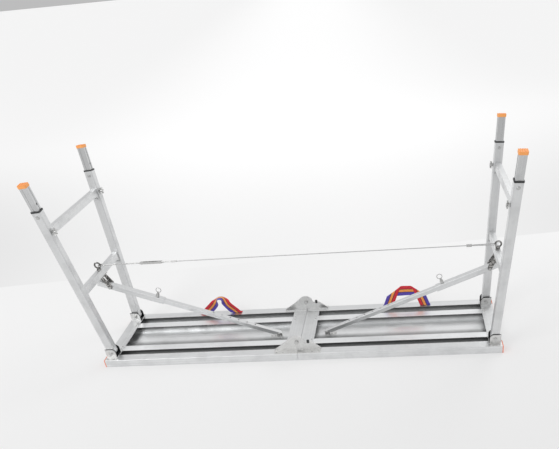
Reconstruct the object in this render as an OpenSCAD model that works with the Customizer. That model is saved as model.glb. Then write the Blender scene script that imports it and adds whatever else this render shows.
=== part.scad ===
// Folding aluminium work platform, lying on its walking face with the legs up.
// X runs along the deck, Y across it, Z up towards the feet. Millimetres.

/* [Deck] */
// Overall length over the end caps
deck_l = 1800; // [1300:10:2400]
// Overall width
deck_w = 400; // [340:5:480]
// Width of each side rail
rail_w = 45; // [42:1:55]
// Height of each side rail
rail_h = 36; // [32:1:44]
// Wall of the rail extrusion
rail_wall = 2.2; // [1.6:0.1:3]
// Corner radius of the rail extrusion
rail_r = 2; // [1:0.5:3]
// Gap between the two halves at the seam
seam_gap = 1.2; // [0.6:0.2:3]
// Thickness of the walking plate
floor_t = 2.5; // [2:0.1:4]
// Width of the rail's lip over the walking plate
lip_w = 8; // [5:1:12]
// Thickness of the rail's lip
lip_t = 2.4; // [1.8:0.1:3]
// Width of each stiffening rib
rib_w = 40; // [24:1:46]
// Distance of a rib's centre from the deck's centre
rib_y = 98.5; // [90:0.5:104]
// Wall of a stiffening rib
rib_wall = 2; // [1.5:0.1:3]
// Pitch of the anti-slip grooves
groove_pitch = 12; // [9:0.5:20]
// Width of an anti-slip groove
groove_w = 4; // [2:0.5:6]
// Depth of an anti-slip groove
groove_d = 0.9; // [0.5:0.1:1.2]
// Thickness of the cross beam plates
beam_t = 4; // [3:0.5:6]
// Width of the cross beam at each end
end_beam_w = 54; // [48:1:60]
// Width of the cross beam beside the seam
centre_beam_w = 62; // [45:1:75]
// Thickness of the plate that closes each end
skirt_t = 2.5; // [2:0.5:4]
// Thickness of the rail end caps
cap_t = 4; // [3:0.5:6]

/* [Centre hinge] */
// Height of the fold axis over the walking face
fold_z = 82; // [76:1:95]
// Radius of the round head of the hinge plate
lobe_r = 34; // [26:1:38]
// Length of a hinge plate along the rail
hinge_l = 106; // [95:1:130]
// Thickness of the hinge plates
hinge_t = 4; // [3:0.5:5]
// Distance from the rail's outer face to the outer hinge plate
hinge_in = 24; // [20:1:27]
// Bolt diameter of the centre hinge
fold_bolt_d = 10; // [8:1:12]

/* [Leg hinge] */
// Distance of the leg axis from the end of the deck
leg_in = 34; // [32:1:40]
// Height of the leg axis over the walking face
leg_z = 60; // [59:1:66]
// Distance of a leg's centre line from the deck's centre, at the axis
leg_y = 157; // [150:1:158]
// Diameter of the leg hinge bolts
leg_bolt_d = 10; // [8:1:12]
// Length of a bracket ear along the deck
ear_l = 46; // [44:1:50]
// Height of a bracket ear over the leg axis
ear_up = 21; // [19:1:26]
// Radius of the rounded corner of an ear
ear_r = 18; // [10:1:20]
// Sheet thickness of the brackets
sheet_t = 3; // [2:0.5:3]
// Thickness of the plastic liner
liner_t = 1.5; // [1:0.1:2]

/* [Legs] */
// Lean of the legs away from upright, in degrees
splay = 3.4; // [2:0.1:8]
// Sideways spread of each leg, in degrees
spread = 6.34; // [3:0.01:7]
// Outer depth of a leg tube, across the frame
tube_a = 36; // [34:1:38]
// Outer width of a leg tube
tube_b = 32; // [28:1:34]
// Wall of a leg tube
tube_wall = 2.2; // [1.8:0.1:2.6]
// Distance from the axis to the mouth of a leg tube
mouth_d = 726; // [660:1:760]
// Distance from the axis to the middle crossbar
mid_d = 312; // [300:1:330]
// Distance from the axis to the upper crossbar
up_d = 614; // [560:1:640]
// Height of the crossbars
bar_h = 30; // [26:1:34]
// Depth of the crossbars
bar_t = 24; // [20:1:26]
// Wall of the crossbars
bar_wall = 2; // [1.5:0.1:3]

/* [Feet] */
// Distance from the axis to the foot's end, as drawn
foot_d = 836; // [815:1:846]
// Length of an inner foot tube
foot_l = 352; // [320:1:380]
// Sliding clearance of the foot tube in the leg
slide_gap = 0.4; // [0.3:0.1:0.6]
// Wall of the foot tube
foot_wall = 2.6; // [2.2:0.1:3]
// Width of the grooves along the foot tube
foot_groove_w = 8; // [7:1:10]
// Depth of the grooves along the foot tube
foot_groove_d = 1.2; // [0.9:0.1:1.4]
// Spacing of the locking holes
hole_pitch = 40; // [30:5:60]
// Height of a foot cap
foot_cap_h = 12; // [9:1:20]
// Wall of a foot cap
foot_cap_wall = 1.6; // [1.2:0.1:3]
// Thickness of the black guide on the tube mouth
guide_t = 1.6; // [1.2:0.1:3]

/* [Braces] */
// Distance from the leg axis to the brace's pivot
brace_d = 255; // [245:1:262]
// Square size of the brace sleeve
sleeve_s = 26; // [24:1:28]
// Wall of the brace sleeve
sleeve_wall = 2; // [1.5:0.1:2.5]
// Length of the brace sleeve
sleeve_l = 306; // [270:1:320]
// Part of the sleeve beyond its pivot
sleeve_back = 60; // [22:1:64]
// Length of the brace rod, from its lower pivot
rod_l = 640; // [620:1:660]
// Part of the brace rod beyond its lower pivot
rod_nose = 10; // [8:0.5:11]
// Wall of the brace rod
rod_wall = 2; // [1.5:0.1:2.5]
// Distance of the lower pivot from the seam
anchor_x = 115; // [100:1:125]
// Height of the lower pivot over the walking face
anchor_z = 19; // [18:0.5:21]
// Diameter of the brace bolts
brace_bolt_d = 8; // [6:1:8]

/* [Fittings] */
// Diameter of the wire rope
rope_d = 4; // [3:0.5:5]
// Inner radius of the eye of an eye bolt
eye_r = 9; // [8:0.5:11]
// Thickness of the eye's steel
eye_t = 7.5; // [5:0.5:8]
// Width of the handle webbing
strap_w = 50; // [40:1:55]
// Thickness of the handle webbing
strap_t = 3; // [2:0.5:4]
// Height of the handles over the rail
strap_h = 94; // [80:1:110]
// Fine clearance between parts that fit together
fit = 0.3; // [0.2:0.05:0.5]

/* [Hidden] */
$fn = 48;
eps = 0.01;
L = -1;
R = 1;
FRONT = -1;
REAR = 1;

half_l = deck_l / 2;
rail_end = half_l - cap_t;            // where the extrusions stop
seam_x = seam_gap / 2;
bay_y = deck_w / 2 - rail_w;          // half width between the rails
rib_h = rail_h - beam_t;
fold_bolt_l = 2 * hinge_t + 0.5;
hinge_y = deck_w / 2 - hinge_in;      // outer face of the outer hinge plate
leg_x = half_l - leg_in;
foot_a = tube_a - 2 * (tube_wall + slide_gap);
foot_b = tube_b - 2 * (tube_wall + slide_gap);
foot_in = foot_d - foot_l;            // inner end of the foot tube
guide_screw_d = mouth_d - 24;
pin_d = up_d + bar_h / 2;
// furthest that the ear's outline reaches from the pivot, over the leg's whole turn
ear_reach = norm([ear_up - ear_r, ear_l / 2 - ear_r]) + ear_r;
ear_gap = tube_b / 2 / cos(spread) + tan(spread) * ear_reach + 0.4 + liner_t;
rod_s = sleeve_s - 2 * (sleeve_wall + 1);
brace_off = bar_t / 2 + sleeve_s / 2 + 1.5;
// The brace's upper pivot, in the deck's frame (right half)
brace_x = leg_x + brace_d * sin(splay) - brace_off * cos(splay);
brace_z = leg_z + brace_d * cos(splay) + brace_off * sin(splay);
brace_len = norm([brace_x - anchor_x, brace_z - anchor_z]);
brace_tilt = atan2(brace_z - anchor_z, brace_x - anchor_x);
eye_d = mid_d + bar_h + 13 + eye_r;   // centre of the eye along the leg
eye_x = leg_x + eye_d * sin(splay);
eye_z = leg_z + eye_d * cos(splay);

// ---- shared helpers ------------------------------------------------------

// Builds a piece of the right half on the named side
module side(s) { mirror([s < 0 ? 1 : 0, 0, 0]) children(); }
// Builds a piece of the rear edge on the named edge
module edge(e) { mirror([0, e < 0 ? 1 : 0, 0]) children(); }
// Both edges at once
module edges() { for (e = [FRONT, REAR]) edge(e) children(); }

// Rectangle with true round corners, centred on X, standing on Y = 0
module plate2d(w, h, r) {
  translate([-w / 2 + r, 0]) square([w - 2 * r, h]);
  translate([-w / 2, r]) square([w, h - 2 * r]);
  for (x = [-w / 2 + r, w / 2 - r], y = [r, h - r]) translate([x, y]) circle(r);
}
// The same, centred both ways
module tube2d(w, h, r) { translate([0, -h / 2]) plate2d(w, h, r); }

// Extrudes a Y-Z outline along X, from x0 to x1
module along_x(x0, x1) {
  translate([x0, 0, 0]) rotate([90, 0, 90]) linear_extrude(x1 - x0) children();
}
// Extrudes an X-Z outline along Y, from y0 to y1
module along_y(y0, y1) {
  translate([0, y1, 0]) rotate([90, 0, 0]) linear_extrude(y1 - y0) children();
}
// Round bar along Y
module bar_y(r, y0, y1) { translate([0, y1, 0]) rotate([90, 0, 0]) cylinder(r = r, h = y1 - y0); }
// Hexagon along Y
module hex_y(af, y0, y1) {
  translate([0, y1, 0]) rotate([90, 0, 0]) cylinder(r = af / sqrt(3), h = y1 - y0, $fn = 6);
}
// Flat blind rivet head, standing on Z = 0
module rivet() { cylinder(r1 = 4.4, r2 = 3.2, h = 1.6); }
// Cross-recessed screw, head on Z = 0
module flat_screw() {
  difference() {
    cylinder(r1 = 4.6, r2 = 3.4, h = 2);
    for (a = [0, 90]) rotate(a) translate([-2.2, -0.5, 1.1]) cube([4.4, 1, 2]);
  }
}

// A leg frame's own space: origin on the hinge axis, Z along the frame
module frame_space() { translate([leg_x, 0, leg_z]) rotate([0, splay, 0]) children(); }
// One leg's own space within the frame: Z along the tube
module leg_space(e) { translate([0, e * leg_y, 0]) rotate([-e * spread, 0, 0]) children(); }
function leg_len(d) = d / cos(spread);
// Half the clear width between the legs at a distance from the axis
function clear_y(d) = leg_y + d * tan(spread) - tube_b / 2 / cos(spread) - fit;

// ---- deck ----------------------------------------------------------------

module rail_outline() {
  difference() {
    union() {
      translate([deck_w / 2 - rail_w / 2, 0]) plate2d(rail_w, rail_h, rail_r);
      translate([bay_y - lip_w, floor_t + fit]) square([lip_w + rail_wall, lip_t]);
    }
    for (i = [0, 1])
      translate([bay_y + rail_wall + i * (rail_w - rail_wall) / 2, floor_t])
        square([(rail_w - 3 * rail_wall) / 2, rail_h - floor_t - rail_wall]);
    // shallow lines of the extrusion on the outer face and underneath
    for (z = [rail_h * 0.3, rail_h * 0.7]) translate([deck_w / 2 - 0.5, z - 1]) square([2, 2]);
    for (i = [1 : 3]) translate([bay_y + i * rail_w / 4 - groove_w / 2, -1]) square([groove_w, 1 + groove_d]);
  }
}
module rail() {
  color("gainsboro") difference() {
    along_x(seam_x, rail_end) rail_outline();
    rail_holes();
  }
}
// Holes in the rail's top for the rivets that stand on it
module rail_holes() { for (p = rail_rivets()) translate([p[0], p[1], rail_h - 5]) cylinder(r = 2.1, h = 9); }

function rail_rivets() = [
  [hinge_l - 10, deck_w / 2 - 10], [hinge_l - 40, deck_w / 2 - 10],
  [leg_x - ear_l / 2 + 8, deck_w / 2 - 9], [leg_x + ear_l / 2 - 8, deck_w / 2 - 9]
];
function beam_rivets() = [for (x = [seam_x + centre_beam_w - 12, rail_end - end_beam_w + 10],
  y = [rib_y - rib_w / 4, rib_y + rib_w / 4]) [x, y]];

module plank_outline() {
  w = bay_y - fit;
  n = floor((2 * w - 8) / groove_pitch);
  difference() {
    union() {
      translate([-w, 0]) square([2 * w, floor_t]);
      for (e = [-1, 1]) translate([e * rib_y - rib_w / 2, floor_t - eps]) square([rib_w, rib_h - floor_t + eps]);
    }
    for (e = [-1, 1]) translate([e * rib_y - rib_w / 2 + rib_wall, floor_t])
      square([rib_w - 2 * rib_wall, rib_h - floor_t - rib_wall]);
    for (i = [0 : n - 1])
      translate([(i - (n - 1) / 2) * groove_pitch - groove_w / 2, -1]) square([groove_w, 1 + groove_d]);
  }
}
module plank() {
  color("silver") difference() {
    along_x(seam_x + skirt_t + fit, rail_end - fit) plank_outline();
    edges() for (p = beam_rivets()) translate([p[0], p[1], rib_h - 6]) cylinder(r = 2.1, h = 9);
    for (x = anchor_rivets_x()) translate([x, 0, -1]) cylinder(r = 2.1, h = 9);
  }
}

module beam(x0, x1) {
  difference() {
    translate([x0, -bay_y + fit, rib_h]) cube([x1 - x0, 2 * (bay_y - fit), beam_t]);
    edges() for (p = beam_rivets()) translate([p[0], p[1], rib_h - 1]) cylinder(r = 2.1, h = 9);
  }
}
module end_beam() {
  color("gainsboro") {
    beam(rail_end - end_beam_w, rail_end + skirt_t);
    translate([rail_end, -bay_y + fit, 0]) cube([skirt_t, 2 * (bay_y - fit), rib_h + eps]);
  }
}
module centre_beam() {
  over_lip = floor_t + lip_t + 2 * fit;
  color("gainsboro") {
    beam(seam_x, seam_x + centre_beam_w);
    translate([seam_x, -bay_y + fit, over_lip]) cube([skirt_t, 2 * (bay_y - fit), rib_h + eps - over_lip]);
    translate([seam_x, -bay_y + lip_w + fit, 0]) cube([skirt_t, 2 * (bay_y - lip_w - fit), rib_h]);
  }
}
module rail_cap() {
  plug = 10;
  color("orangered") {
    along_x(rail_end, half_l) translate([deck_w / 2 - rail_w / 2, 0]) plate2d(rail_w, rail_h, rail_r);
    for (i = [0, 1])
      translate([rail_end - plug, bay_y + rail_wall + i * (rail_w - rail_wall) / 2 + fit, floor_t + fit])
        cube([plug + eps, (rail_w - 3 * rail_wall) / 2 - 2 * fit, rail_h - floor_t - rail_wall - 2 * fit]);
  }
}

// ---- centre hinge --------------------------------------------------------

// Left plate: a round head about the axis and a long slope to its far end
module left_hinge_outline() {
  top = rail_h + fit;
  difference() {
    union() {
      translate([0, fold_z]) circle(lobe_r);
      polygon([[-hinge_l, top], [-hinge_l, top + 7], [-hinge_l + 7, top + 14], [-62, fold_z - 6],
               [-lobe_r * sin(38), fold_z + lobe_r * cos(38)], [0, fold_z], [-seam_x, fold_z - 4], [-seam_x, top]]);
    }
    translate([0, fold_z]) circle((fold_bolt_d + 0.4) / 2);
  }
}
// Right plate: it starts behind the round head and slopes the other way
module right_hinge_outline() {
  top = rail_h + fit;
  difference() {
    union() {
      translate([0, fold_z]) circle(lobe_r - 6);
      polygon([[hinge_l, top], [hinge_l, top + 7], [hinge_l - 7, top + 15], [64, fold_z - 3],
               [46, fold_z - 3], [0, fold_z], [seam_x, fold_z - 4], [seam_x, top]]);
    }
    translate([0, fold_z]) circle((fold_bolt_d + 0.4) / 2);
  }
}
// The two plates lie side by side; the left one is nearer to the front
function left_plate_y(e) = e < 0 ? -hinge_y : hinge_y - fold_bolt_l;
function right_plate_y(e) = left_plate_y(e) + hinge_t + 0.5;
module hinge_flange(e, x0, x1, y) {
  far = e * (deck_w / 2 - 2);
  y0 = min(e < 0 ? y + hinge_t : y, far);
  y1 = max(e < 0 ? y + hinge_t : y, far);
  difference() {
    translate([x0, y0, rail_h]) cube([x1 - x0, y1 - y0, sheet_t]);
    for (p = rail_rivets(), s = [L, R]) translate([s * p[0], e * p[1], rail_h - 1]) cylinder(r = 2.1, h = 9);
  }
}
module hinge_plates(s) {
  color("lightgray") for (e = [FRONT, REAR]) {
    y = s < 0 ? left_plate_y(e) : right_plate_y(e);
    along_y(y, y + hinge_t) if (s < 0) left_hinge_outline(); else right_hinge_outline();
    if (s < 0) hinge_flange(e, -hinge_l, -seam_x, y); else hinge_flange(e, seam_x, hinge_l, y);
  }
}
module hinge_bolts() {
  color("silver") for (e = [FRONT, REAR]) {
    y0 = left_plate_y(e);
    y1 = y0 + fold_bolt_l;
    translate([0, 0, fold_z]) {
      bar_y(fold_bolt_d / 2, y0 - 3, y1 + 13);
      bar_y(fold_bolt_d * 0.95, y0 - 1.8, y0 - 0.1);
      hex_y(fold_bolt_d * 1.6, y0 - 7.6, y0 - 1.7);
      bar_y(fold_bolt_d * 0.95, y1 + 0.1, y1 + 1.8);
      hex_y(fold_bolt_d * 1.6, y1 + 1.7, y1 + 9);
    }
  }
}
// Black buffers in the notch beside the round head, on the right plates
module hinge_stops() {
  color("#202022") for (e = [FRONT, REAR])
    along_y(right_plate_y(e) - 5, right_plate_y(e)) translate([lobe_r + 17, fold_z - 7]) plate2d(11, 16, 2);
}

// ---- leg hinge -----------------------------------------------------------

module ear_outline(grow) {
  x0 = leg_x - ear_l / 2 - grow;
  x1 = leg_x + ear_l / 2 + grow;
  z1 = leg_z + ear_up + grow;
  r = ear_r + grow;
  difference() {
    union() {
      translate([x0 + r, rail_h + sheet_t]) square([x1 - x0 - r, z1 - rail_h - sheet_t]);
      translate([x0, rail_h + sheet_t]) square([x1 - x0, z1 - r - rail_h - sheet_t]);
      translate([x0 + r, z1 - r]) circle(r);
    }
    translate([leg_x, leg_z]) circle((leg_bolt_d + 0.4) / 2);
  }
}
module leg_bracket() {
  color("silver") {
    for (k = [-1, 1]) {
      y = leg_y + (k < 0 ? -ear_gap - sheet_t : ear_gap);
      translate([0, 0, -eps]) along_y(y, y + sheet_t) ear_outline(0);
    }
    difference() {
      translate([leg_x - ear_l / 2, leg_y - ear_gap - sheet_t, rail_h])
        cube([ear_l, deck_w / 2 - 2 - leg_y + ear_gap + sheet_t, sheet_t]);
      for (p = rail_rivets()) translate([p[0], p[1], rail_h - 1]) cylinder(r = 2.1, h = 9);
    }
  }
}
module bracket_liner() {
  color("#202022") {
    for (k = [-1, 1]) {
      y = leg_y + (k < 0 ? -ear_gap + 0.05 : ear_gap - liner_t - 0.05);
      translate([0, 0, 0.05]) along_y(y, y + liner_t) ear_outline(1.4);
    }
    translate([leg_x - ear_l / 2, leg_y - ear_gap + 0.1, rail_h + sheet_t + 0.05])
      cube([ear_l, 2 * ear_gap - 0.2, 1]);
  }
}
module leg_pivot_bolt() {
  y0 = leg_y - ear_gap - sheet_t;
  y1 = leg_y + ear_gap + sheet_t;
  color("silver") translate([leg_x, 0, leg_z]) {
    bar_y(leg_bolt_d / 2, y0 - 9, y1 + 3);
    hex_y(leg_bolt_d * 1.6, y0 - 7, y0 - 0.1);
    bar_y(leg_bolt_d * 0.8, y1 + 0.1, y1 + 4.5);
  }
}

// ---- leg frames ----------------------------------------------------------

module leg_tube(e) {
  end = leg_len(mouth_d);
  difference() {
    leg_space(e) {
      linear_extrude(end) tube2d(tube_a, tube_b, 3);
      rotate([90, 0, 0]) translate([0, 0, -tube_b / 2]) cylinder(r = tube_a / 2, h = tube_b);
    }
    leg_space(e) translate([0, 0, 26]) linear_extrude(end)
      square([tube_a - 2 * tube_wall, tube_b - 2 * tube_wall], center = true);
    translate([0, e * leg_y, 0]) bar_y((leg_bolt_d + 0.6) / 2, -tube_b, tube_b);
    leg_space(e) {
      translate([0, 0, leg_len(guide_screw_d)]) bar_y(3.2, -tube_b, tube_b);
      translate([0, 0, leg_len(pin_d)]) rotate([0, -90, 0]) cylinder(r = 4.2, h = tube_a);
    }
  }
}
// Crossbar whose ends are cut to meet the spreading legs
module crossbar(d) {
  module body(t, inset, over) {
    z0 = d + inset;
    z1 = d + bar_h - inset;
    a = clear_y(z0) + over;
    b = clear_y(z1) + over;
    translate([-t / 2, 0, 0]) along_x(0, t) polygon([[-a, z0], [a, z0], [b, z1], [-b, z1]]);
  }
  difference() {
    body(bar_t, 0, 0);
    body(bar_t - 2 * bar_wall, bar_wall, 1);
    if (d == mid_d) {
      translate([0, 0, d - 1]) cylinder(r = 4.2, h = bar_h + 2);
      for (y = bracket_screws_y()) translate([0, y, d - 1]) cylinder(r = 2.1, h = bar_wall + 2);
    }
  }
}
module crossbars() { color("gainsboro") frame_space() { crossbar(mid_d); crossbar(up_d); } }
module leg_tubes() { color("gainsboro") frame_space() for (e = [FRONT, REAR]) leg_tube(e); }

module tube_guide(e) {
  leg_space(e) translate([0, 0, leg_len(mouth_d) + 0.1]) difference() {
    union() {
      linear_extrude(guide_t) tube2d(tube_a + 2, tube_b + 2, 4);
      translate([0, 0, -4]) linear_extrude(4 + eps) difference() {
        tube2d(tube_a + 2, tube_b + 2, 4);
        square([tube_a + 0.3, tube_b + 0.3], center = true);
      }
    }
    translate([0, 0, -9]) linear_extrude(guide_t + 10)
      square([foot_a + 0.6, foot_b + 0.6], center = true);
  }
}
module tube_guides() { color("#202022") frame_space() for (e = [FRONT, REAR]) tube_guide(e); }

// Guide screws near the mouth, housings of the lock pins, the brace's pivot
// screws: these end in the sleeve's wall, because the rod slides past them
module leg_fasteners() {
  groove = foot_b / 2 - foot_groove_d;
  color("silver") frame_space() {
    for (e = [FRONT, REAR]) leg_space(e) {
      translate([0, 0, leg_len(guide_screw_d)]) edge(e) {
        bar_y(3, groove + 0.3, tube_b / 2 + 0.1);
        translate([0, tube_b / 2 + 0.1, 0]) rotate([-90, 0, 0]) cylinder(r1 = 7.5, r2 = 5, h = 4);
        bar_y(3, -tube_b / 2 - 6, -groove - 0.3);
        hex_y(11, -tube_b / 2 - 5, -tube_b / 2 - 0.1);
      }
      translate([-tube_a / 2 - 0.1, 0, leg_len(pin_d)]) rotate([0, -90, 0]) difference() {
        cylinder(r = 7, h = 6, $fn = 6);
        translate([0, 0, -1]) cylinder(r = 3.3, h = 9);
      }
    }
    translate([-brace_off, 0, brace_d]) {
      y = bracket_in() + sheet_t;
      edges() {
        bar_y(brace_bolt_d / 2, sleeve_s / 2 - sleeve_wall + 0.2, y + 1);
        hex_y(brace_bolt_d * 1.6, y + 0.1, y + 6.4);
      }
    }
    for (y = bracket_screws_y()) translate([0, y, mid_d - sheet_t - 0.1]) mirror([0, 0, 1]) rivet();
  }
}

// Eye bolt through the middle crossbar, with two nuts above and one below
module eye_bolt() {
  base = mid_d + bar_h;
  color("#6e6f72") frame_space() {
    translate([0, 0, mid_d - 8]) cylinder(r = 4, h = eye_d - eye_r - mid_d + 8 - eye_t / 2);
    translate([0, 0, base + 0.1]) cylinder(r = 10, h = 6, $fn = 6);
    translate([0, 0, base + 6.4]) cylinder(r = 9, h = 5, $fn = 6);
    translate([0, 0, mid_d - 6.6]) cylinder(r = 8.5, h = 6.5, $fn = 6);
    translate([0, 0, eye_d]) rotate([90, 0, 0]) rotate_extrude() translate([eye_r + eye_t / 2, 0]) circle(eye_t / 2);
  }
}

// ---- braces --------------------------------------------------------------

function bracket_in() = sleeve_s / 2 + 1;
function bracket_screws_y() = [-bracket_in() - sheet_t - 9, bracket_in() + sheet_t + 9];
// U bracket under the middle crossbar that carries the sleeve
module brace_bracket() {
  h = bracket_screws_y()[1] + 8;
  color("#8d8f93") frame_space() {
    difference() {
      translate([-bar_t / 2, -h, mid_d - sheet_t - 0.1]) cube([bar_t, 2 * h, sheet_t]);
      for (y = bracket_screws_y()) translate([0, y, mid_d - 9]) cylinder(r = 2.1, h = 12);
      translate([0, 0, mid_d - 9]) cylinder(r = 9.5, h = 12);
    }
    for (k = [-1, 1]) edge(k) along_y(bracket_in(), bracket_in() + sheet_t) difference() {
      union() {
        translate([-brace_off, brace_d]) circle(9);
        polygon([[-bar_t / 2, mid_d - 0.2], [2, mid_d - 0.2], [0, mid_d - 10],
                 [-brace_off + 9, brace_d], [-brace_off - 9, brace_d], [-brace_off - 7, brace_d + 16]]);
      }
      translate([-brace_off, brace_d]) circle((brace_bolt_d + 0.4) / 2);
    }
  }
}
// The brace's own space: origin on the upper pivot, Z down along the brace
module brace_space() { translate([brace_x, 0, brace_z]) rotate([0, -90 - brace_tilt, 0]) children(); }
brace_pin_z = sleeve_l - sleeve_back - 34;
module brace_sleeve() {
  color("gainsboro") brace_space() difference() {
    translate([0, 0, -sleeve_back]) linear_extrude(sleeve_l) tube2d(sleeve_s, sleeve_s, 2);
    translate([0, 0, -sleeve_back - 1]) linear_extrude(sleeve_l + 2)
      square(sleeve_s - 2 * sleeve_wall, center = true);
    bar_y((brace_bolt_d + 0.5) / 2, -sleeve_s, sleeve_s);
    translate([0, 0, brace_pin_z]) rotate([0, 90, 0]) cylinder(r = 3.4, h = sleeve_s);
  }
}
module brace_rod() {
  hook = brace_bolt_d / 2 + 0.6;
  color("gainsboro") brace_space() difference() {
    translate([0, 0, brace_len - rod_l]) linear_extrude(rod_l + rod_nose) tube2d(rod_s, rod_s, 1.5);
    translate([0, 0, brace_len - rod_l - 1]) linear_extrude(rod_l - 30)
      square(rod_s - 2 * rod_wall, center = true);
    // open hook that drops over the deck's pin
    translate([0, 0, brace_len]) bar_y(hook, -rod_s, rod_s);
    along_y(-rod_s, rod_s) polygon([[-0.5, brace_len + hook], [-rod_s, brace_len + hook],
      [-rod_s, brace_len - hook - rod_s * 1.5], [-0.5, brace_len - hook]]);
    for (i = [0 : 5]) translate([rod_s / 2 - rod_wall - 1, 0, brace_len - 320 + i * hole_pitch])
      rotate([0, 90, 0]) cylinder(r = 3.4, h = 6);
  }
}
// Spring pin with a pull ring, standing on the sleeve near its lower end
module brace_pin() {
  color("#8d8f93") brace_space() translate([sleeve_s / 2, 0, brace_pin_z]) {
    rotate([0, 90, 0]) {
      translate([0, 0, -sleeve_wall + 0.2]) cylinder(r = 3, h = 27);
      translate([0, 0, 0.3]) cylinder(r = 7.8, h = 13);
      translate([0, 0, 13.2]) cylinder(r = 5.2, h = 8);
    }
    translate([23 + 12, 0, 0]) rotate([90, 0, 0]) rotate_extrude() translate([11.5, 0]) circle(1.7);
  }
}
function anchor_rivets_x() = [anchor_x + 22, anchor_x + 36];
// Bracket on the deck that the rod's hook drops into
module brace_anchor() {
  w = rod_s / 2 + 1.2;
  color("silver") {
    difference() {
      translate([anchor_x - 14, -w - sheet_t, floor_t]) cube([58, 2 * (w + sheet_t), sheet_t - 0.5]);
      for (x = anchor_rivets_x()) translate([x, 0, 0]) cylinder(r = 2.1, h = 12);
    }
    for (k = [-1, 1]) edge(k) along_y(w, w + sheet_t) difference() {
      union() {
        translate([anchor_x, anchor_z]) circle(9);
        translate([anchor_x - 9, floor_t + 1]) square([18, anchor_z - floor_t - 1]);
      }
      translate([anchor_x, anchor_z]) circle((brace_bolt_d + 0.3) / 2);
    }
  }
}

// ---- deck fasteners ------------------------------------------------------

module deck_fasteners(s) {
  w = rod_s / 2 + 1.2 + sheet_t;
  color("darkgray") side(s) {
    edges() for (p = rail_rivets()) translate([p[0], p[1], rail_h + sheet_t + 0.05]) {
      rivet();
      translate([0, 0, -6]) cylinder(r = 2, h = 6 + eps);
    }
    edges() for (p = beam_rivets()) translate([p[0], p[1], rail_h + 0.05]) {
      rivet();
      translate([0, 0, -6]) cylinder(r = 2, h = 6 + eps);
    }
    for (x = anchor_rivets_x()) translate([x, 0, floor_t + sheet_t - 0.45]) {
      rivet();
      translate([0, 0, -4]) cylinder(r = 2, h = 4 + eps);
    }
    translate([anchor_x, 0, anchor_z]) {
      bar_y(brace_bolt_d / 2, -w - 3, w + 9);
      hex_y(brace_bolt_d * 1.6, -w - 5.2, -w - 0.1);
      hex_y(brace_bolt_d * 1.6, w + 0.1, w + 6.4);
    }
  }
  strap_screw_y = (s < 0 ? left_strap_y : right_strap_y) + strap_t + strap_foot / 2;
  color("darkgray") for (x = strap_feet(s)) translate([x, strap_screw_y, rail_h + strap_t + 0.15]) flat_screw();
}

// ---- handles -------------------------------------------------------------

strap_foot = 14;     // length of the foot that is screwed to the rail
left_strap_x = -437;
left_strap_span = 214;
left_strap_y = 172;      // plane of the upright webbing
right_strap_y = 166;
right_strap_x = 491;
right_strap_span = 230;
right_strap_top = 104;
function strap_feet(s) = s < 0
  ? [left_strap_x - left_strap_span / 2 + strap_w / 2, left_strap_x + left_strap_span / 2 - strap_w / 2]
  : [right_strap_x - right_strap_span / 2 + strap_w / 2, right_strap_x + right_strap_span / 2 - strap_w / 2];

module strap_foot_pad(x, y) {
  translate([x - strap_w / 2, y, rail_h + 0.1]) cube([strap_w, strap_foot + strap_t, strap_t]);
}
// Inverted V of flat webbing, standing on the rear rail
module left_handle() {
  a = left_strap_span / 2;
  z0 = rail_h + 0.1;
  color("crimson") {
    translate([left_strap_x, 0, 0]) along_y(left_strap_y, left_strap_y + strap_t)
      polygon([[-a, z0], [-a + strap_w, z0], [0, z0 + strap_h - 44], [a - strap_w, z0], [a, z0],
               [20, z0 + strap_h - 8], [10, z0 + strap_h], [-10, z0 + strap_h], [-20, z0 + strap_h - 8]]);
    for (x = strap_feet(L)) strap_foot_pad(x, left_strap_y);
  }
}
// Flat-topped loop with two folded corners
module right_handle() {
  a = right_strap_span / 2;
  t = right_strap_top / 2;
  z0 = rail_h + 0.1;
  color("crimson") {
    translate([right_strap_x, 0, 0]) along_y(right_strap_y, right_strap_y + strap_t)
      polygon([[-a, z0], [-a + strap_w, z0], [-t + 18, z0 + strap_h - 40], [t - 18, z0 + strap_h - 40],
               [a - strap_w, z0], [a, z0], [t + 14, z0 + strap_h - 12], [t, z0 + strap_h], [-t, z0 + strap_h],
               [-t - 14, z0 + strap_h - 12]]);
    for (x = strap_feet(R)) strap_foot_pad(x, right_strap_y);
  }
}

// ---- feet ----------------------------------------------------------------

module foot(e) {
  z0 = leg_len(foot_in);
  z1 = leg_len(foot_d) - foot_cap_wall - fit;
  color("silver") frame_space() leg_space(e) difference() {
    translate([0, 0, z0]) linear_extrude(z1 - z0) difference() {
      tube2d(foot_a, foot_b, 2);
      square([foot_a - 2 * foot_wall, foot_b - 2 * foot_wall], center = true);
      for (k = [-1, 1]) {
        translate([0, k * foot_b / 2]) square([foot_groove_w, 2 * foot_groove_d], center = true);
        translate([k * foot_a / 2, 0]) square([2 * foot_groove_d, foot_groove_w], center = true);
      }
    }
    for (z = [z0 + 30 : hole_pitch : z1 - 60])
      translate([-foot_a / 2 - 1, 0, z]) rotate([0, 90, 0]) cylinder(r = 3.4, h = foot_wall + 2);
  }
}
module foot_cap(e) {
  z1 = leg_len(foot_d);
  w = foot_cap_wall + 0.2;
  color("#f79a4e") frame_space() leg_space(e) difference() {
    translate([0, 0, z1 - foot_cap_h]) linear_extrude(foot_cap_h) tube2d(foot_a + 2 * w, foot_b + 2 * w, 4);
    translate([0, 0, z1 - foot_cap_h - 1]) linear_extrude(foot_cap_h - foot_cap_wall + 1)
      square([foot_a + 0.4, foot_b + 0.4], center = true);
    for (x = [-12 : 8 : 12]) translate([x - 1.5, -foot_b, z1 - 1.2]) cube([3, 2 * foot_b, 3]);
  }
}
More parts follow.
